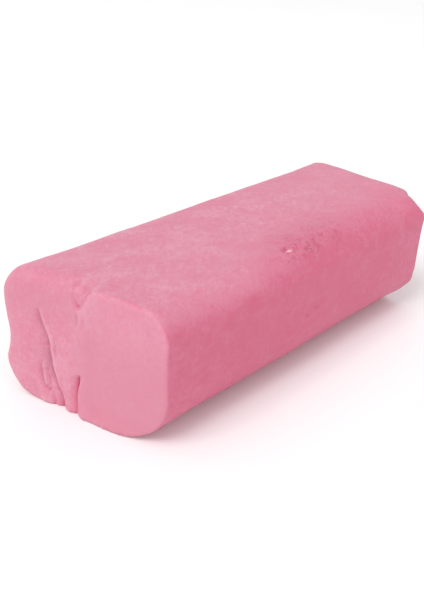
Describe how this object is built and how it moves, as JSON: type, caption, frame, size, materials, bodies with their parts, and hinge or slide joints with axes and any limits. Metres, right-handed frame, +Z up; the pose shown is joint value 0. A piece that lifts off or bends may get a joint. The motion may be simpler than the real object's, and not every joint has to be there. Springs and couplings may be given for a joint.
{
  "type": "detailing clay bar",
  "caption": "Block of soft pink detailing clay with rounded long edges, knife-cut ends and one end pinched over; it is kneaded and rubbed on wet car paint to lift bonded dirt.",
  "frame": {"origin": "on the base plane, under the middle of the bar's bounding box", "axes": "+X along the bar from the pinched near end to the plain far end, +Y towards the back side, +Z up"},
  "size_m": [0.099, 0.041, 0.03],
  "materials": {
    "pink_clay": "soft matte clay with a faint waxy sheen"
  },
  "bodies": {
    "root": {"clay_bar": "pink_clay"}
  },
  "joints": []
}
